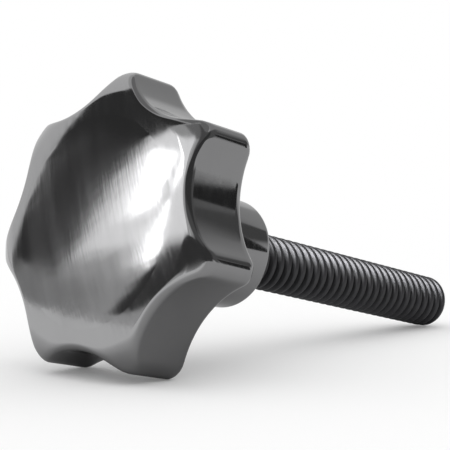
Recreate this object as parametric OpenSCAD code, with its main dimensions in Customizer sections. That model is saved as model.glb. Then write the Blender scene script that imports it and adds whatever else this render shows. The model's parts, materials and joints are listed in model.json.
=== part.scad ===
// Star knob with a threaded stud: a cast head with seven lobes and a hub behind
// it, and a stud screwed into the hub. It lies as it comes to rest on a table, on
// the back corners of two lobes and on the tip of the stud, which points along +X
// and a little down. The origin is on the axis, at the hub's end face.

/* [Head] */
// Diameter over the tips of the lobes
head_d = 32; // [30:0.5:40]
// Thickness of the lobed part, along the axis
head_t = 9.3; // [7:0.1:14]
// Number of lobes
lobe_count = 7; // [5:1:8]
// Radius of the tip of a lobe, seen along the axis
lobe_r = 1.6; // [1.4:0.1:2.4]
// Depth of the hollows between the lobes
hollow_depth = 3; // [2:0.1:4]
// Radius of the dome of the whole face
face_r = 70; // [50:5:400]
// How far in from the lobe tips the crown starts to fall away from the face
crown_w = 3.1; // [2:0.1:9]
// How far the crown falls by the lobe tips
crown_h = 2.7; // [1:0.1:3.6]
// Rounding of the front edge in the hollows
front_round = 0.7; // [0.3:0.1:1.5]
// Rounding of the lobes' back corners
back_round = 1.8; // [0.6:0.1:2.2]
// Rounding of the back edge in the hollows
back_edge = 0.5; // [0.2:0.1:1]
// Width over which the crown blends into the sides
blend = 0.8; // [0.2:0.1:1.2]

/* [Hub] */
// Diameter of the hub
hub_d = 12; // [10:0.5:16]
// Length of the hub, from the back of the lobes to its end face
hub_l = 12.4; // [9:0.1:20]
// Rounding of the hub's end
hub_round = 0.9; // [0.3:0.1:1.5]
// Fillet where the hub meets the back of the lobes
hub_fillet = 1.2; // [0.4:0.1:2]

/* [Stud] */
// Outer diameter of the thread
stud_d = 6.35; // [5:0.05:8]
// Length of the stud beyond the hub's end face
stud_l = 38.1; // [12:0.1:60]
// Chamfer at the stud's tip
tip_chamfer = 0.9; // [0.4:0.1:1.4]
// Distance from one crest of the thread to the next
pitch = 1.27; // [1.1:0.01:1.6]
// Depth of the thread, which the hidden end of the stud is drawn without
thread_depth = 0.69; // [0.4:0.01:0.8]
// Length of stud inside the hub
stud_in = 14; // [8:0.5:17]
// Gap between the hidden end of the stud and its hole, on the radius
stud_gap = 0.03; // [0.02:0.01:0.1]
// Width of the countersink round the stud, on the radius, beyond the thread
sink_w = 0.4; // [0.2:0.1:0.8]

/* [Hidden] */

// Half the angle between two lobes.
half_pitch = 180 / lobe_count;
// Distances from the axis: the centre of a lobe's tip, the bottom of a hollow, and
// the centre of the arc that draws a hollow, which is tangent to the lobes beside it.
lobe_at = head_d / 2 - lobe_r;
hollow_at = head_d / 2 - hollow_depth;
hollow_r = (pow(lobe_r, 2) - pow(lobe_at, 2) - pow(hollow_at, 2)
            + 2 * lobe_at * hollow_at * cos(half_pitch))
           / (2 * (hollow_at - lobe_at * cos(half_pitch) - lobe_r));
arc_at = hollow_at + hollow_r;
// Angle at the axis between a lobe's centre line and the point where its tip meets
// the hollow's arc.
join_dir = atan2(arc_at * sin(half_pitch), arc_at * cos(half_pitch) - lobe_at);
join_at = atan2(lobe_r * sin(join_dir), lobe_at + lobe_r * cos(join_dir));
// Places along the axis, from the hub's end face.
head_back = -hub_l;
head_front = -hub_l - head_t;
// Points round the outline, and rings over the face, the front edge and the back edge.
around = 24 * lobe_count;
face_rings = 4;
front_rings = 12;
back_rings = 6;
root_d = stud_d - 2 * thread_depth;
// Widths along the axis of a crest and of a flank, for a thread of 60 degrees.
crest_w = pitch / 8;
flank_w = thread_depth * tan(30);
hole_r = root_d / 2 + stud_gap;
sink_r = stud_d / 2 + sink_w;
tip_at = stud_l - tip_chamfer;
// Crests are counted back from the chamfer, down to the first beyond the hub.
crest_count = floor((tip_at - crest_w) / pitch) + 1;
first_crest = tip_at - crest_w - (crest_count - 1) * pitch;
// Overrun of a cut beyond the face it opens, and of the hub into the head.
over = 1;

// Angle within half a lobe, 0 on the lobe's centre line.
function folded(a) = abs(a - 2 * half_pitch * round(a / (2 * half_pitch)));

// Radius of the lobed outline at angle a.
function outline(a) = let (f = folded(a)) f < join_at
    ? lobe_at * cos(f) + sqrt(pow(lobe_r, 2) - pow(lobe_at * sin(f), 2))
    : arc_at * cos(half_pitch - f) - sqrt(pow(hollow_r, 2) - pow(arc_at * sin(half_pitch - f), 2));

// How far a rounded edge, w across and h deep, has drawn in at depth d.
function drawn_in(d, w, h) = d >= h ? 0 : w * (1 - sqrt(1 - pow(1 - d / h, 2)));

// The smaller of two radii, blended where they are close.
function soft_min(a, b) = min(a, b) - pow(max(blend - abs(a - b), 0), 2) / (4 * blend);

// How far the domed face has fallen at radius r.
function dome(r) = pow(r, 2) / (2 * face_r);

// Radius of the lobed part at angle a, where its edge and its corner have drawn in
// at depth d.
function drawn(a, d, edge, corner_w, corner_h) =
    soft_min(outline(a) - drawn_in(d, edge, edge),
             head_d / 2 + blend - drawn_in(d, corner_w + blend, corner_h));

// Rings of the lobed part: inside the crown, down the crown, and round the back edge.
function face_ring(part) = [for (i = [0:around - 1])
    let (a = 360 * i / around, r = part * drawn(a, 0, front_round, crown_w, crown_h))
    [r * cos(a), r * sin(a), head_front + dome(r)]];
function front_ring(d) = [for (i = [0:around - 1])
    let (a = 360 * i / around, r = drawn(a, d, front_round, crown_w, crown_h))
    [r * cos(a), r * sin(a), head_front + d + dome(r)]];
function back_ring(d) = [for (i = [0:around - 1])
    let (a = 360 * i / around, r = drawn(a, d, back_edge, back_round, back_round))
    [r * cos(a), r * sin(a), head_back - d]];

// Depths of n + 1 rings down a rounded edge of depth h, close together at its top.
function depths(h, n) = [for (i = [0:n]) h * (1 - cos(90 * i / n))];

// How far the back corners of two neighbouring lobes reach down at depth d.
function reach(d) = max([for (p = back_ring(d)) p[0] * cos(half_pitch) + p[1] * sin(half_pitch)]);

// Angle at which the axis slopes down to the stud's tip, when the knob lies on a table.
lie_angle = max([for (d = depths(back_round, back_rings))
    atan((reach(d) - stud_d / 2) / (tip_at - head_back + d))]);

// Lobed part, lofted through its rings from the middle of the face to the back.
module lobes() {
    rings = concat(
        [for (i = [1:face_rings - 1]) face_ring(i / face_rings)],
        [for (d = depths(crown_h, front_rings)) front_ring(d)],
        [for (i = [0:back_rings]) back_ring(depths(back_round, back_rings)[back_rings - i])]);
    points = concat([for (r = rings) each r], [[0, 0, head_front]]);
    middle = len(points) - 1;
    last = (len(rings) - 1) * around;
    faces = concat(
        [for (i = [0:around - 1]) [middle, i, (i + 1) % around]],
        [for (k = [0:len(rings) - 2], i = [0:around - 1])
            let (a = k * around + i, b = k * around + (i + 1) % around)
            [a, a + around, b + around, b]],
        [[for (i = [around - 1:-1:0]) last + i]]);
    polyhedron(points, faces, convexity = 4);
}

// Quarter of a ring's section, for a rounding of radius r in an outer or inner corner.
module corner(r) {
    difference() {
        square(r + over);
        circle(r, $fn = 64);
    }
}

// Section of the hub, with a fillet at the lobes and a rounded end.
module hub_section() {
    difference() {
        translate([0, head_back - over]) square([hub_d / 2, hub_l + over]);
        translate([hub_d / 2 - hub_round, -hub_round]) corner(hub_round);
    }
    difference() {
        translate([hub_d / 2 - over, head_back - over])
            square([hub_fillet + over, hub_fillet + over]);
        translate([hub_d / 2 + hub_fillet, head_back + hub_fillet])
            circle(hub_fillet, $fn = 64);
    }
}

// Lays the axis, which is modelled along Z, down on two lobes and the stud's tip.
module laid() {
    rotate([0, 90 + lie_angle, 0]) rotate([0, 0, half_pitch]) children();
}

module star_head() {
    color([0.55, 0.55, 0.56])
    laid()
    difference() {
        union() {
            lobes();
            rotate_extrude($fn = 128) hub_section();
        }
        translate([0, 0, -stud_in - stud_gap])
            cylinder(r = hole_r, h = stud_in + stud_gap + over, $fn = 64);
        translate([0, 0, hole_r - sink_r])
            cylinder(r1 = hole_r, r2 = sink_r, h = sink_r - hole_r, $fn = 64);
    }
}

// The thread is drawn as grooves that don't climb: its crests are rings, one a turn.
module threaded_stud() {
    color([0.2, 0.2, 0.21])
    laid()
    rotate_extrude($fn = 96)
    polygon(concat(
        [[0, -stud_in], [root_d / 2, -stud_in]],
        [for (i = [0:crest_count - 1]) let (z = first_crest + i * pitch) each [
            if (i > 0) [root_d / 2, z - pitch + crest_w + flank_w],
            [root_d / 2, z - flank_w], [stud_d / 2, z], [stud_d / 2, z + crest_w]]],
        [[stud_d / 2 - tip_chamfer, stud_l], [0, stud_l]]));
}

star_head();
threaded_stud();
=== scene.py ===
import json
import math

import bmesh
import bpy
from mathutils import Matrix, Vector


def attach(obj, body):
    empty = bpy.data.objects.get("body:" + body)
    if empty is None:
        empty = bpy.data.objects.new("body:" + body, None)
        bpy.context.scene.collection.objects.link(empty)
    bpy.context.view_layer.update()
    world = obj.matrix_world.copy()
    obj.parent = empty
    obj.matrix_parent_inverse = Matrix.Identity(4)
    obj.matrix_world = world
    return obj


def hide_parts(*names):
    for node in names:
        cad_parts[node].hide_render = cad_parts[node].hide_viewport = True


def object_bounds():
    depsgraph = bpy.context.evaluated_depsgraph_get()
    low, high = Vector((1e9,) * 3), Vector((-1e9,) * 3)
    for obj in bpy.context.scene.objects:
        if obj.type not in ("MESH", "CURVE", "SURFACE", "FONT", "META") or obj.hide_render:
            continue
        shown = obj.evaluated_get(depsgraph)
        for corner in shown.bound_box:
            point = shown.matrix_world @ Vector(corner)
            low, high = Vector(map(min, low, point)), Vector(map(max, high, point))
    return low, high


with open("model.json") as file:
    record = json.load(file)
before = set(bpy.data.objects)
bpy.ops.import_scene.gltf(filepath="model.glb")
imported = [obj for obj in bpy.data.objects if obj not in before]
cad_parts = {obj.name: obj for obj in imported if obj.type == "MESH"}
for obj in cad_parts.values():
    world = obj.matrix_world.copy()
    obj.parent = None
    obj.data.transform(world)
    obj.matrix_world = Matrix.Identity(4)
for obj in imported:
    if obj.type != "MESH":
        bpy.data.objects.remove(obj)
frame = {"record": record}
cadBox = [list(corner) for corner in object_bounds()]
print("frame loaded")

mm = 0.001
studMount = next(mount for mount in frame["record"]["mounts"] if mount["name"] == "stud")
studAxis = Vector(studMount["axis"])        # towards the stud's tip
lieAngle = math.asin(-studAxis.z)
floorLevel = cadBox[0][2]
mergeWithin = 0.0005                        # mm


# Steps that both pieces use

def clearSelection():
    if bpy.context.object and bpy.context.object.mode != "OBJECT":
        bpy.ops.object.mode_set(mode="OBJECT")
    bpy.ops.object.select_all(action="DESELECT")


def selectOnly(piece):
    clearSelection()
    piece.select_set(True)
    bpy.context.view_layer.objects.active = piece


def nameActive(name):
    piece = bpy.context.object
    piece.name = name
    piece.data.name = name
    return piece


def selectOpenEdges(piece):
    bpy.ops.mesh.select_all(action="DESELECT")
    bpy.ops.mesh.select_mode(type="EDGE")
    shape = bmesh.from_edit_mesh(piece.data)
    for edge in shape.edges:
        edge.select_set(edge.is_boundary)
    shape.select_flush_mode()
    bmesh.update_edit_mesh(piece.data)


def placeRing(piece, ring):
    # the ring just extruded is selected, and each of its points keeps its own angle
    shape = bmesh.from_edit_mesh(piece.data)
    for point in shape.verts:
        if not point.select:
            continue
        angle = math.atan2(point.co.y, point.co.x)
        radius, place = ring[round(angle / (2 * math.pi) * len(ring)) % len(ring)]
        point.co = (radius * math.cos(angle), radius * math.sin(angle), place)
    bmesh.update_edit_mesh(piece.data)


def closeMesh(piece):
    selectOnly(piece)
    bpy.ops.object.mode_set(mode="EDIT")
    bpy.ops.mesh.select_all(action="SELECT")
    bpy.ops.mesh.remove_doubles(threshold=mergeWithin)
    bpy.ops.mesh.normals_make_consistent(inside=False)
    bpy.ops.object.mode_set(mode="OBJECT")


def useModifier(piece, kind, **settings):
    selectOnly(piece)
    modifier = piece.modifiers.new(kind.lower(), kind)
    for setting, value in settings.items():
        setattr(modifier, setting, value)
    bpy.ops.object.modifier_apply(modifier=modifier.name)


def layDown(piece, turn):
    # from standing along Z, in millimetres, to lying as the CAD does, in metres
    lying = Matrix.Rotation(math.pi / 2 + lieAngle, 4, "Y") @ Matrix.Rotation(turn, 4, "Z")
    selectOnly(piece)
    piece.matrix_world = lying @ Matrix.Scale(mm, 4)
    bpy.ops.object.transform_apply(location=True, rotation=True, scale=True)


def smoothUpTo(piece, degrees):
    selectOnly(piece)
    bpy.ops.object.shade_smooth_by_angle(angle=math.radians(degrees))


def quarterTurn(steps):
    return [math.pi / 2 * i / steps for i in range(steps + 1)]


# The head, with its hub: millimetres along Z, with the hub's end face at 0

head = {
    "diameter": 32.0,
    "thickness": 9.3,
    "lobes": 7,
    "lobeTip": 1.6,                 # radius of a lobe's tip, seen from the front
    "hollowDepth": 3.0,
    "faceRadius": 70.0,             # of the face's dome
    "crownWidth": 3.1,              # the polished slope round the face
    "crownFall": 2.7,
    "frontEdge": 0.7,
    "backCorner": 1.8,
    "backEdge": 1.2,
    "blend": 0.8,                   # where the crown runs into the sides
    "hubDiameter": 12.0,
    "hubLength": 12.4,
    "hubEnd": 0.9,
    "hubFillet": 1.2,
    "sinkRadius": 3.575,
    "holeRadius": 2.515,
    "holeDepth": 14.03,
    "pointsPerLobe": 48,
    "faceRings": 8,
    "crownRings": 30,
    "wallRings": (0.33, 0.67),      # parts of the way down the sides
    "cornerRings": 10,
    "backRings": (0.4, 0.75),       # parts of the way in to the hub
    "hubRings": 8,                  # round the fillet, and round the hub's end
    "smoothAngle": 40,
}
halfPitch = math.pi / head["lobes"]
headFront = -head["hubLength"] - head["thickness"]


def lobedOutline(angle):
    # lobe tips are arcs, and each hollow is an arc tangent to the lobes beside it
    tip = head["lobeTip"]
    tipAt = head["diameter"] / 2 - tip
    hollowAt = head["diameter"] / 2 - head["hollowDepth"]
    between = math.cos(halfPitch)
    hollow = (tip**2 - tipAt**2 - hollowAt**2 + 2 * tipAt * hollowAt * between)
    hollow /= 2 * (hollowAt - tipAt * between - tip)
    arcAt = hollowAt + hollow
    joinDirection = math.atan2(arcAt * math.sin(halfPitch), arcAt * between - tipAt)
    joinAngle = math.atan2(tip * math.sin(joinDirection), tipAt + tip * math.cos(joinDirection))
    angle = abs(angle - 2 * halfPitch * round(angle / (2 * halfPitch)))
    if angle < joinAngle:
        return tipAt * math.cos(angle) + math.sqrt(tip**2 - (tipAt * math.sin(angle))**2)
    angle = halfPitch - angle
    return arcAt * math.cos(angle) - math.sqrt(hollow**2 - (arcAt * math.sin(angle))**2)


def drawnIn(depth, width, height):
    return 0 if depth >= height else width * (1 - math.sqrt(1 - (1 - depth / height)**2))


def softMin(a, b):
    return min(a, b) - max(head["blend"] - abs(a - b), 0)**2 / (4 * head["blend"])


def lobedRing(outline, depth, edge, cornerWidth, cornerHeight):
    corner = head["diameter"] / 2 + head["blend"]
    corner -= drawnIn(depth, cornerWidth + head["blend"], cornerHeight)
    return [softMin(radius - drawnIn(depth, edge, edge), corner) for radius in outline]


def domeFall(radius):
    return radius**2 / (2 * head["faceRadius"])


def roundedDepths(height, count):
    return [height * (1 - math.cos(t)) for t in quarterTurn(count)]


def headRings():
    # each ring gives every point's radius and place, from the face round to the hole's bottom
    count = head["lobes"] * head["pointsPerLobe"]
    outline = [lobedOutline(2 * math.pi * i / count) for i in range(count)]
    crown = (head["frontEdge"], head["crownWidth"], head["crownFall"])
    corner = (head["backEdge"], head["backCorner"], head["backCorner"])
    back = -head["hubLength"]
    rings = []

    def addRound(radius, place):
        rings.append([(radius, place)] * count)

    inner = min(lobedRing(outline, 0, *crown)) / (head["faceRings"] + 1)
    for i in range(1, head["faceRings"] + 1):
        addRound(inner * i, headFront + domeFall(inner * i))
    for depth in roundedDepths(head["crownFall"], head["crownRings"]):
        radii = lobedRing(outline, depth, *crown)
        rings.append([(radius, headFront + depth + domeFall(radius)) for radius in radii])
    crownEnd = rings[-1]
    wallEnd = back - head["backCorner"]
    for part in head["wallRings"]:
        rings.append([(radius, place + (wallEnd - place) * part) for radius, place in crownEnd])
    for depth in reversed(roundedDepths(head["backCorner"], head["cornerRings"])):
        rings.append([(radius, back - depth) for radius in lobedRing(outline, depth, *corner)])

    hub = head["hubDiameter"] / 2
    fillet = head["hubFillet"]
    backFace = [radius for radius, place in rings[-1]]
    for part in head["backRings"]:
        rings.append([(radius + (hub + fillet - radius) * part, back) for radius in backFace])
    for t in quarterTurn(head["hubRings"]):
        addRound(hub + fillet * (1 - math.sin(t)), back + fillet * (1 - math.cos(t)))
    addRound(hub, (back + fillet - head["hubEnd"]) / 2)
    for t in quarterTurn(head["hubRings"]):
        addRound(hub - head["hubEnd"] * (1 - math.cos(t)), -head["hubEnd"] * (1 - math.sin(t)))
    addRound(head["sinkRadius"], 0)
    addRound(head["holeRadius"], head["holeRadius"] - head["sinkRadius"])
    addRound(head["holeRadius"], -head["holeDepth"])
    return rings


def buildHead():
    # a domed disc in the middle of the face, extruded ring by ring all the way to the hole
    rings = headRings()
    clearSelection()
    bpy.ops.mesh.primitive_circle_add(vertices=len(rings[0]), radius=rings[0][0][0],
                                      fill_type="TRIFAN", location=(0, 0, 0),
                                      rotation=(0, 0, math.pi / 2))
    bpy.ops.object.transform_apply(location=True, rotation=True, scale=True)
    piece = nameActive("knobHead")
    for point in piece.data.vertices:
        point.co.z = headFront + domeFall(point.co.xy.length)
    bpy.ops.object.mode_set(mode="EDIT")
    selectOpenEdges(piece)
    for ring in rings[1:]:
        bpy.ops.mesh.extrude_edges_move()
        placeRing(piece, ring)
    bpy.ops.mesh.extrude_edges_move()
    bpy.ops.mesh.merge(type="CENTER")
    bpy.ops.object.mode_set(mode="OBJECT")
    closeMesh(piece)
    layDown(piece, halfPitch)
    smoothUpTo(piece, head["smoothAngle"])
    return piece


# The threaded stud: millimetres along Z, with its hidden end below 0

stud = {
    "radius": studMount["dims"]["r_mm"],
    "length": 38.1,
    "pitch": 1.27,
    "threadDepth": 0.69,
    "crestFlat": 0.48,              # before its corners are rounded
    "rootFlat": 0.22,
    "crestRound": 0.34,
    "rootRound": 0.12,
    "tipRound": 1.55,
    "threadFrom": -1.5,             # the thread is made longer at both ends, and cut to the blank
    "threadBeyond": 0.6,
    "spareTurns": 2,
    "blankFrom": -1.2,
    "blankSpare": (0.25, 0.005),    # how far the blank clears the crests, in the hub and at the tip
    "hidden": 14.0,                 # the plain end inside the hub
    "hiddenRadius": 2.47,
    "hiddenChamfer": 0.3,
    "hiddenTop": (-0.8, -0.6, 0.2), # where its top's chamfer starts and ends, and how far it draws in
    "turnSteps": 64,
    "roundSteps": 4,
    "tipRings": 9,
    "blankSegments": 128,
    "hiddenSegments": 64,
    "smoothAngle": 28,
}


def roundedProfile(corners, radii, steps):
    # every corner but the first and the last becomes a small arc
    points = [Vector(corners[0])]
    for before, corner, after, radius in zip(corners, corners[1:], corners[2:], radii):
        corner = Vector(corner)
        toBefore = (Vector(before) - corner).normalized()
        toAfter = (Vector(after) - corner).normalized()
        half = toBefore.angle(toAfter) / 2
        centre = corner + (toBefore + toAfter).normalized() * radius / math.sin(half)
        start = (corner + toBefore * radius / math.tan(half) - centre).normalized()
        end = (corner + toAfter * radius / math.tan(half) - centre).normalized()
        for i in range(steps + 1):
            points.append(centre + start.slerp(end, i / steps) * radius)
    points.append(Vector(corners[-1]))
    return points


def threadProfile():
    # radius and place over one turn, from the middle of a root to the next
    pitch = stud["pitch"]
    crest = stud["radius"]
    root = crest - stud["threadDepth"]
    half = stud["rootFlat"] / 2
    crestAt = half + (pitch - stud["crestFlat"] - stud["rootFlat"]) / 2
    corners = [(root, 0), (root, half), (crest, crestAt), (crest, crestAt + stud["crestFlat"]),
               (root, pitch - half), (root, pitch)]
    radii = (stud["rootRound"], stud["crestRound"], stud["crestRound"], stud["rootRound"])
    return roundedProfile(corners, radii, stud["roundSteps"])


def buildThread():
    # the profile of one turn, swept up by the Screw modifier and cut level at both ends
    profile = threadProfile()
    pitch = stud["pitch"]
    low = stud["threadFrom"]
    clearSelection()
    bpy.ops.mesh.primitive_circle_add(vertices=len(profile), radius=1, fill_type="NOTHING")
    piece = nameActive("threadBlank")
    for point, (radius, place) in zip(piece.data.vertices, profile):
        point.co = (radius, 0, low - pitch + place)
    bpy.ops.object.mode_set(mode="EDIT")
    bpy.ops.mesh.select_all(action="DESELECT")
    shape = bmesh.from_edit_mesh(piece.data)
    for edge in shape.edges:
        if {point.index for point in edge.verts} == {0, len(profile) - 1}:
            edge.select_set(True)            # it closes the circle, and a profile is open
    bpy.ops.mesh.select_mode(type="EDGE")
    bpy.ops.mesh.delete(type="EDGE")
    bpy.ops.object.mode_set(mode="OBJECT")
    turns = math.ceil((stud["length"] - low) / pitch) + stud["spareTurns"]
    useModifier(piece, "SCREW", screw_offset=pitch, iterations=turns, angle=2 * math.pi, axis="Z",
                steps=stud["turnSteps"], render_steps=stud["turnSteps"], use_smooth_shade=False)
    closeMesh(piece)
    bpy.ops.object.mode_set(mode="EDIT")
    for level, cutBelow in ((low, True), (stud["length"] + stud["threadBeyond"], False)):
        bpy.ops.mesh.select_all(action="SELECT")
        bpy.ops.mesh.bisect(plane_co=(0, 0, level), plane_no=(0, 0, 1), use_fill=True,
                            clear_inner=cutBelow, clear_outer=not cutBelow)
    bpy.ops.object.mode_set(mode="OBJECT")
    closeMesh(piece)
    return piece


def buildTurned(name, profile, segments):
    # a closed solid of revolution: a disc extruded ring by ring, with its far end closed
    radius, place = profile[0]
    clearSelection()
    bpy.ops.mesh.primitive_circle_add(vertices=segments, radius=radius, fill_type="NGON",
                                      location=(0, 0, place))
    bpy.ops.object.transform_apply(location=True, rotation=True, scale=True)
    piece = nameActive(name)
    bpy.ops.object.mode_set(mode="EDIT")
    selectOpenEdges(piece)
    for ring in profile[1:]:
        bpy.ops.mesh.extrude_edges_move()
        placeRing(piece, [ring] * segments)
    bpy.ops.mesh.edge_face_add()
    bpy.ops.object.mode_set(mode="OBJECT")
    closeMesh(piece)
    return piece


def buildStud():
    # the thread, cut by a blank with a rounded tip, and joined to the plain end in the hub
    rounding = stud["tipRound"]
    spareInHub, spareAtTip = stud["blankSpare"]
    profile = [(stud["radius"] + spareInHub, stud["blankFrom"])]
    for t in quarterTurn(stud["tipRings"]):
        profile.append((stud["radius"] + spareAtTip - rounding * (1 - math.cos(t)),
                        stud["length"] - rounding * (1 - math.sin(t))))
    plain = stud["hiddenRadius"]
    end = -stud["hidden"]
    chamfer = stud["hiddenChamfer"]
    topFrom, topTo, drawIn = stud["hiddenTop"]
    piece = buildThread()
    blank = buildTurned("studBlank", profile, stud["blankSegments"])
    useModifier(piece, "BOOLEAN", operation="INTERSECT", object=blank, solver="EXACT")
    hidden = buildTurned("studHidden", [(plain - chamfer, end), (plain, end + chamfer),
                                        (plain, topFrom), (plain - drawIn, topTo)],
                         stud["hiddenSegments"])
    useModifier(piece, "BOOLEAN", operation="UNION", object=hidden, solver="EXACT")
    bpy.data.objects.remove(blank)
    bpy.data.objects.remove(hidden)
    piece.name = "studThreaded"
    piece.data.name = "studThreaded"
    closeMesh(piece)
    layDown(piece, 0)
    smoothUpTo(piece, stud["smoothAngle"])
    return piece


knobHead = buildHead()
print("head built", len(knobHead.data.polygons), "faces")
studThreaded = buildStud()
print("stud built", len(studThreaded.data.polygons), "faces")


# Materials: lines and waves are given a millimetre, and depths in metres

brushedFace = {
    "colour": (0.41, 0.41, 0.415, 1),
    "tints": (0.94, 1.05),              # times the colour, from streak to streak
    "anisotropy": 0.85,
    "roughness": (0.13, 0.045),         # at the middle of the face, and by its rim
    "uneven": (0.85, 1.15),             # times the roughness, from streak to streak
    "rim": (8.0, 11.5),                 # where the brushing fades into the polish, in mm
    "lines": (0.30, 3.2),               # along the brushing, and across it
    "lineDepth": 0.000005,
    "linesLeft": 0.1,                   # part of their depth that is left beyond the rim
    "waves": (0.286, 0.132, 0.22),      # along the brushing, across it, and along the stud
    "waveDepth": 0.000022,
    "lowest": 2.2,                      # mm below the middle of the face, down to which it is brushed
}
polishedSide = {
    "colour": (0.41, 0.41, 0.415, 1),
    "tints": (0.97, 1.02),
    "roughness": (0.06, 0.11),
    "lines": (0.15, 1.6),
    "lineDepth": 0.0000012,
}
blackenedSteel = {
    "colour": (0.10, 0.10, 0.105, 1),
    "worn": (0.11, 0.11, 0.115, 1),     # on the crests
    "wornWithin": 0.12,                 # mm below the crests
    "wornLeast": 0.2,                   # between the worn patches
    "patches": (0.35, 0.65),            # the noise's values that the patches run over
    "roughness": (0.42, 0.50),
    "lines": (3.0, 3.0),
    "lineDepth": 0.000002,
}
noiseRange = (0.3, 0.7)                 # where most of a noise's values lie
acrossLobes = Vector((0, 0, 1)).cross(studAxis).normalized()
upFace = studAxis.cross(acrossLobes)
brushLean = math.radians(26)            # of the brushed lines, from upright
brushAlong = -acrossLobes * math.sin(brushLean) - upFace * math.cos(brushLean)
brushAcross = -acrossLobes * math.cos(brushLean) + upFace * math.sin(brushLean)


def newMaterial(name):
    material = bpy.data.materials.new(name)
    material.use_nodes = True
    tree = material.node_tree
    return material, tree, tree.nodes["Principled BSDF"]


def feed(tree, socket, value):
    # the value is a number, a colour, a vector or another node's output
    if isinstance(value, bpy.types.NodeSocket):
        tree.links.new(value, socket)
    else:
        socket.default_value = value


def mathNode(tree, operation, first, second):
    node = tree.nodes.new("ShaderNodeMath")
    node.operation = operation
    feed(tree, node.inputs[0], first)
    feed(tree, node.inputs[1], second)
    return node.outputs[0]


def vectorNode(tree, operation, first, second):
    node = tree.nodes.new("ShaderNodeVectorMath")
    node.operation = operation
    feed(tree, node.inputs[0], first)
    feed(tree, node.inputs["Scale" if operation == "SCALE" else 1], second)
    return node.outputs["Vector" if operation == "SCALE" else "Value"]


def spread(tree, value, to, source, smooth=False):
    # runs over the two values of "to" as the value runs over the two of "source"
    node = tree.nodes.new("ShaderNodeMapRange")
    node.interpolation_type = "SMOOTHSTEP" if smooth else "LINEAR"
    feed(tree, node.inputs["Value"], value)
    for name, amount in zip(("From Min", "From Max", "To Min", "To Max"), (*source, *to)):
        feed(tree, node.inputs[name], amount)
    return node.outputs["Result"]


def blendColours(tree, factor, first, second):
    mix = tree.nodes.new("ShaderNodeMix")
    mix.data_type = "RGBA"
    feed(tree, mix.inputs["Factor"], factor)
    feed(tree, mix.inputs["A"], first)
    feed(tree, mix.inputs["B"], second)
    return mix.outputs["Result"]


def tinted(tree, streaks, look):
    darker, lighter = (tuple(part * times for part in look["colour"][:3]) + (1,)
                       for times in look["tints"])
    return blendColours(tree, spread(tree, streaks, (0, 1), noiseRange), darker, lighter)


def stretchedNoise(tree, place, frequencies, detail, coarser=1.0):
    # frequencies along the brushed lines, across them and along the stud
    scaled = tree.nodes.new("ShaderNodeCombineXYZ")
    for axis, direction, frequency in zip("XYZ", (brushAlong, brushAcross, studAxis), frequencies):
        reach = vectorNode(tree, "DOT_PRODUCT", place, direction)
        distance = mathNode(tree, "MULTIPLY", reach, coarser / mm)
        feed(tree, scaled.inputs[axis], mathNode(tree, "MULTIPLY", distance, frequency))
    noise = tree.nodes.new("ShaderNodeTexNoise")
    feed(tree, noise.inputs["Scale"], 1.0)
    feed(tree, noise.inputs["Detail"], detail)
    feed(tree, noise.inputs["Vector"], scaled.outputs[0])
    return noise.outputs["Fac"]


def makeLinesGroup():
    # fine lines along the brushing, and broader streaks of them
    group = bpy.data.node_groups.new("brushLines", "ShaderNodeTree")
    for name, kind in (("Vector", "NodeSocketVector"), ("Lines Along", "NodeSocketFloat"),
                       ("Lines Across", "NodeSocketFloat")):
        group.interface.new_socket(name, in_out="INPUT", socket_type=kind)
    for name in ("Fine", "Broad"):
        group.interface.new_socket(name, in_out="OUTPUT", socket_type="NodeSocketFloat")
    enter = group.nodes.new("NodeGroupInput").outputs
    leave = group.nodes.new("NodeGroupOutput").inputs
    frequencies = (enter["Lines Along"], enter["Lines Across"], enter["Lines Across"])
    for name, detail, coarser in (("Fine", 2.0, 1.0), ("Broad", 3.0, 0.16)):
        noise = stretchedNoise(group, enter["Vector"], frequencies, detail, coarser)
        feed(group, leave[name], noise)
    return group


linesGroup = makeLinesGroup()


def placeLines(tree, look):
    place = tree.nodes.new("ShaderNodeTexCoord").outputs["Object"]
    lines = tree.nodes.new("ShaderNodeGroup")
    lines.node_tree = linesGroup
    linesAlong, linesAcross = look["lines"]
    feed(tree, lines.inputs["Vector"], place)
    feed(tree, lines.inputs["Lines Along"], linesAlong)
    feed(tree, lines.inputs["Lines Across"], linesAcross)
    return place, lines.outputs["Fine"], lines.outputs["Broad"]


def fromAxis(tree, place):
    # distance from the stud's axis, in millimetres
    reach = vectorNode(tree, "DOT_PRODUCT", place, studAxis)
    foot = vectorNode(tree, "SCALE", studAxis, reach)
    return mathNode(tree, "MULTIPLY", vectorNode(tree, "DISTANCE", place, foot), 1 / mm)


def addBump(tree, shader, height, depth):
    bump = tree.nodes.new("ShaderNodeBump")
    feed(tree, bump.inputs["Distance"], depth)
    feed(tree, bump.inputs["Height"], height)
    feed(tree, shader.inputs["Normal"], bump.outputs["Normal"])


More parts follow.
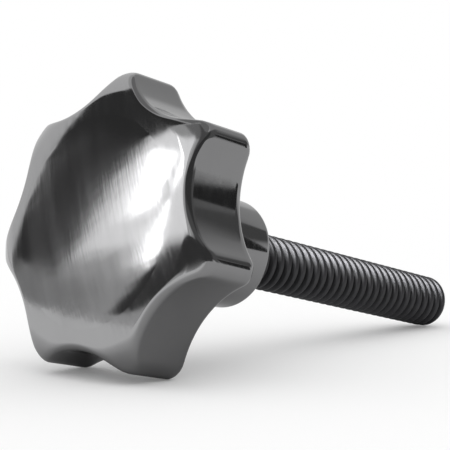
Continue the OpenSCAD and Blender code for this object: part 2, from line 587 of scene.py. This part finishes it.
def makeBrushedFace(look):
    material, tree, shader = newMaterial("brushedFace")
    place, fine, broad = placeLines(tree, look)
    away = fromAxis(tree, place)
    feed(tree, shader.inputs["Base Color"], tinted(tree, broad, look))
    feed(tree, shader.inputs["Metallic"], 1)
    feed(tree, shader.inputs["Anisotropic"], look["anisotropy"])
    tangent = tree.nodes.new("ShaderNodeCombineXYZ")      # light smears across the brushed lines
    for axis, value in zip("XYZ", brushAcross):
        feed(tree, tangent.inputs[axis], value)
    feed(tree, shader.inputs["Tangent"], tangent.outputs[0])
    roughness = spread(tree, away, look["roughness"], look["rim"], smooth=True)
    uneven = spread(tree, broad, look["uneven"], noiseRange)
    feed(tree, shader.inputs["Roughness"], mathNode(tree, "MULTIPLY", roughness, uneven))
    fade = spread(tree, away, (1, look["linesLeft"]), look["rim"], smooth=True)
    lines = mathNode(tree, "MULTIPLY", mathNode(tree, "MULTIPLY", fine, fade),
                     look["lineDepth"] / look["waveDepth"])
    waves = stretchedNoise(tree, place, look["waves"], 2.0)
    addBump(tree, shader, mathNode(tree, "ADD", lines, waves), look["waveDepth"])
    return material


def makePolishedSide(look):
    material, tree, shader = newMaterial("polishedSide")
    place, fine, broad = placeLines(tree, look)
    feed(tree, shader.inputs["Base Color"], tinted(tree, broad, look))
    feed(tree, shader.inputs["Metallic"], 1)
    feed(tree, shader.inputs["Roughness"], spread(tree, fine, look["roughness"], noiseRange))
    addBump(tree, shader, broad, look["lineDepth"])
    return material


def makeBlackenedSteel(look):
    material, tree, shader = newMaterial("blackenedSteel")
    place, fine, broad = placeLines(tree, look)
    crests = (stud["radius"] - look["wornWithin"], stud["radius"])
    worn = mathNode(tree, "MULTIPLY", spread(tree, fromAxis(tree, place), (0, 1), crests),
                    spread(tree, broad, (look["wornLeast"], 1), look["patches"]))
    feed(tree, shader.inputs["Base Color"], blendColours(tree, worn, look["colour"], look["worn"]))
    feed(tree, shader.inputs["Metallic"], 1)
    feed(tree, shader.inputs["Roughness"], spread(tree, fine, look["roughness"], noiseRange))
    addBump(tree, shader, fine, look["lineDepth"])
    return material


knobHead.data.materials.append(makePolishedSide(polishedSide))
knobHead.data.materials.append(makeBrushedFace(brushedFace))
for face in knobHead.data.polygons:
    height = face.center.dot(studAxis) / mm
    outward = (face.center / mm - studAxis * height).length
    onFace = height < headFront + brushedFace["lowest"] and outward < brushedFace["rim"][1]
    face.material_index = 1 if onFace else 0
studThreaded.data.materials.append(makeBlackenedSteel(blackenedSteel))
print("materials made")


# Floor, light and camera

studio = {
    "floor": 0.9,
    "floorSize": 3.0,
    "floorRoughness": 0.9,
    # what the metal sees of the floor, painted darker than it is: a painted shadow under the head,
    # painted shade round it, and painted window light towards the window
    "floorPaintedInReflections": (0.30, 0.50, 0.85),
    "paintedShadowMiddle": (-0.014, 0, 0),
    "paintedShadowRamp": (0.008, 0.020),        # from the painted shadow under the head to the painted shade round it
    "paintedWindowLightTurn": 138,                  # azimuth of the window, towards which the floor's painted light grows
    "paintedWindowLightRamp": (0.008, 0.057),       # how far out that way the painted window light grows on the floor
    "headMiddle": (-0.018, 0, 0.004),
    "studMiddle": (0.018, 0, -0.004),
    "cardDistance": 1.3,
    "cardStep": 0.02,                   # part by which each card is nearer than the one before
    "cardGrid": (48, 16),
    # what the metal reflects, each card in front of those above it: brightness, softness of the
    # sides and of the ends, and the corners as azimuth and elevation
    "cards": {
        "room": (0.58, (0.01, 0.01), ((-180, -3), (180, -3), (180, 89), (-180, 89))),
        "overhead": (0.26, (0.03, 0.10), ((-210, 50), (171, 65), (175, 88), (-179, 90))),
        "rightSide": (0.38, (0.13, 0.13), ((-62, 3), (19, 1), (44, 66), (-52, 59))),
        "leftSide": (0.78, (0.04, 0.06), ((44, -4), (109, -1), (118, 52), (40, 48))),
        "cameraSide": (0.13, (0.12, 0.12), ((-167, 33), (-45, -7), (2, 34), (-173, 88))),
        "cameraLow": (0.06, (0.15, 0.15), ((-211, 6), (-86, -18), (-36, 58), (-161, 34))),
        "upperLeft": (0.05, (0.03, 0.10), ((106, -1), (122, -1), (160, 63), (119, 62))),
        "window": (1.50, (0.10, 0.10), ((126, 6), (171, 18), (180, 58), (136, 29))),
        "paneLeft": (4.2, (0.14, 0.14), ((140, 16), (147, 18), (148, 30), (139, 29))),
        "paneRight": (4.2, (0.09, 0.09), ((152, 4), (145, 10), (154, 32), (148, 38))),
        "lowBehind": (0.06, (0.05, 0.05), ((138, 0), (214, 12), (221, 34), (150, 13))),
        "postRight": (0.03, (0.07, 0.07), ((-42.5, -2), (-33, -2), (-33, 15), (-42.5, 18))),
        "wallShade": (0.10, (0.10, 0.25), ((-34, 8), (-14, 10), (-15, 30), (-34, 27))),
        "lowLeft": (0.34, (0.15, 0.20), ((108, -1), (138, -1), (139, 6), (108, 5))),
    },
    "worldLight": 1.0,
}
studLamp = {
    "watts": 0.38,
    "size": 0.09,
    "distance": 0.15,
    "azimuth": 187,
    "elevation": 50,
}
view = {
    "place": (-0.1155801, -0.1092573, 0.0113068),
    "turn": (87.1198, 0.5866, -46.3830),
    "lens": 115.29,
    "sensor": 36,
    "nearest": 0.001,
}
white = (1, 1, 1, 1)


def toDirection(azimuth, elevation):
    azimuth, elevation = math.radians(azimuth), math.radians(elevation)
    flat = math.cos(elevation)
    return Vector((flat * math.cos(azimuth), flat * math.sin(azimuth), math.sin(elevation)))


def makeFloor():
    # white to the camera but for the knob's shadow; in reflections painted darker, with a painted
    # shadow under the head and painted window light towards the window
    clearSelection()
    bpy.ops.mesh.primitive_plane_add(size=studio["floorSize"], location=(0, 0, floorLevel))
    floor = nameActive("floor")
    material, tree, shader = newMaterial("paleFloor")
    place = tree.nodes.new("ShaderNodeTexCoord").outputs["Object"]
    rays = tree.nodes.new("ShaderNodeLightPath").outputs
    # colour for reflections alone: painted shadow under the head, painted shade round it, painted
    # window light beyond
    under, around, beyond = studio["floorPaintedInReflections"]
    away = vectorNode(tree, "DISTANCE", place, studio["paintedShadowMiddle"])
    near = spread(tree, away, (under, around), studio["paintedShadowRamp"], smooth=True)
    reach = vectorNode(tree, "DOT_PRODUCT", place, toDirection(studio["paintedWindowLightTurn"], 0))
    far = spread(tree, reach, (0, beyond - around), studio["paintedWindowLightRamp"], smooth=True)
    pale = (studio["floor"],) * 3 + (1,)
    colour = blendColours(tree, rays["Is Glossy Ray"], pale, mathNode(tree, "ADD", near, far))
    feed(tree, shader.inputs["Base Color"], colour)
    feed(tree, shader.inputs["Roughness"], studio["floorRoughness"])
    feed(tree, shader.inputs["Specular IOR Level"], 0)
    feed(tree, shader.inputs["Emission Color"], white)
    glow = mathNode(tree, "MULTIPLY", rays["Is Camera Ray"], 1 - studio["floor"])
    feed(tree, shader.inputs["Emission Strength"], glow)
    floor.data.materials.append(material)


def addCard(name, distance, brightness, soft, corners):
    # a patch of a sphere round the head, seen by reflections alone, with soft edges
    clearSelection()
    columns, rows = studio["cardGrid"]
    bpy.ops.mesh.primitive_grid_add(x_subdivisions=columns, y_subdivisions=rows, size=1)
    card = nameActive(name)
    lowLeft, lowRight, highRight, highLeft = (Vector(corner) for corner in corners)
    for point in card.data.vertices:
        low = lowLeft.lerp(lowRight, point.co.x + 0.5)
        high = highLeft.lerp(highRight, point.co.x + 0.5)
        direction = toDirection(*low.lerp(high, point.co.y + 0.5))
        point.co = Vector(studio["headMiddle"]) + direction * distance
    material, tree, shader = newMaterial(name)
    tree.nodes.remove(shader)
    uv = tree.nodes.new("ShaderNodeSeparateXYZ")
    feed(tree, uv.inputs[0], tree.nodes.new("ShaderNodeTexCoord").outputs["UV"])
    sides = []
    for part, width in zip(uv.outputs, soft):
        edge = mathNode(tree, "MINIMUM", part, mathNode(tree, "SUBTRACT", 1.0, part))
        sides.append(spread(tree, edge, (0, 1), (0, width), smooth=True))
    glow = tree.nodes.new("ShaderNodeEmission")
    feed(tree, glow.inputs["Color"], white)
    feed(tree, glow.inputs["Strength"], brightness)
    clear = tree.nodes.new("ShaderNodeBsdfTransparent")
    mix = tree.nodes.new("ShaderNodeMixShader")
    feed(tree, mix.inputs[0], mathNode(tree, "MULTIPLY", *sides))
    feed(tree, mix.inputs[1], clear.outputs[0])
    feed(tree, mix.inputs[2], glow.outputs[0])
    feed(tree, tree.nodes["Material Output"].inputs["Surface"], mix.outputs[0])
    card.data.materials.append(material)
    card.visible_camera = False
    card.visible_diffuse = False
    card.visible_transmission = False
    card.visible_shadow = False


def lightStud():
    # a lamp for the stud alone, high behind the head, that catches the sides of its thread
    toLamp = toDirection(studLamp["azimuth"], studLamp["elevation"]) * studLamp["distance"]
    clearSelection()
    bpy.ops.object.light_add(type="AREA", location=Vector(studio["studMiddle"]) + toLamp,
                             rotation=toLamp.to_track_quat("Z", "Y").to_euler())
    lamp = bpy.context.object
    lamp.name = "studLamp"
    lamp.data.energy = studLamp["watts"]
    lamp.data.size = studLamp["size"]
    studOnly = bpy.data.collections.new("studOnly")
    studOnly.objects.link(studThreaded)
    lamp.light_linking.receiver_collection = studOnly


def addWorld():
    world = bpy.data.worlds.new("studio")
    world.use_nodes = True
    background = world.node_tree.nodes["Background"]
    background.inputs["Color"].default_value = white
    background.inputs["Strength"].default_value = studio["worldLight"]
    bpy.context.scene.world = world


def addCamera():
    cameraData = bpy.data.cameras.new("camera")
    cameraData.sensor_width = view["sensor"]
    cameraData.lens = view["lens"]
    cameraData.clip_start = view["nearest"]
    camera = bpy.data.objects.new("camera", cameraData)
    camera.location = view["place"]
    camera.rotation_euler = [math.radians(a) for a in view["turn"]]
    bpy.context.scene.collection.objects.link(camera)
    bpy.context.scene.camera = camera


makeFloor()
for order, (name, settings) in enumerate(studio["cards"].items()):
    addCard(name, studio["cardDistance"] * (1 - order * studio["cardStep"]), *settings)
lightStud()
addWorld()
addCamera()
bpy.context.scene.view_settings.view_transform = "Standard"
print("floor, light and camera placed")

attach(knobHead, "root")
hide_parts("star_head")
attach(studThreaded, "root")
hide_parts("threaded_stud")
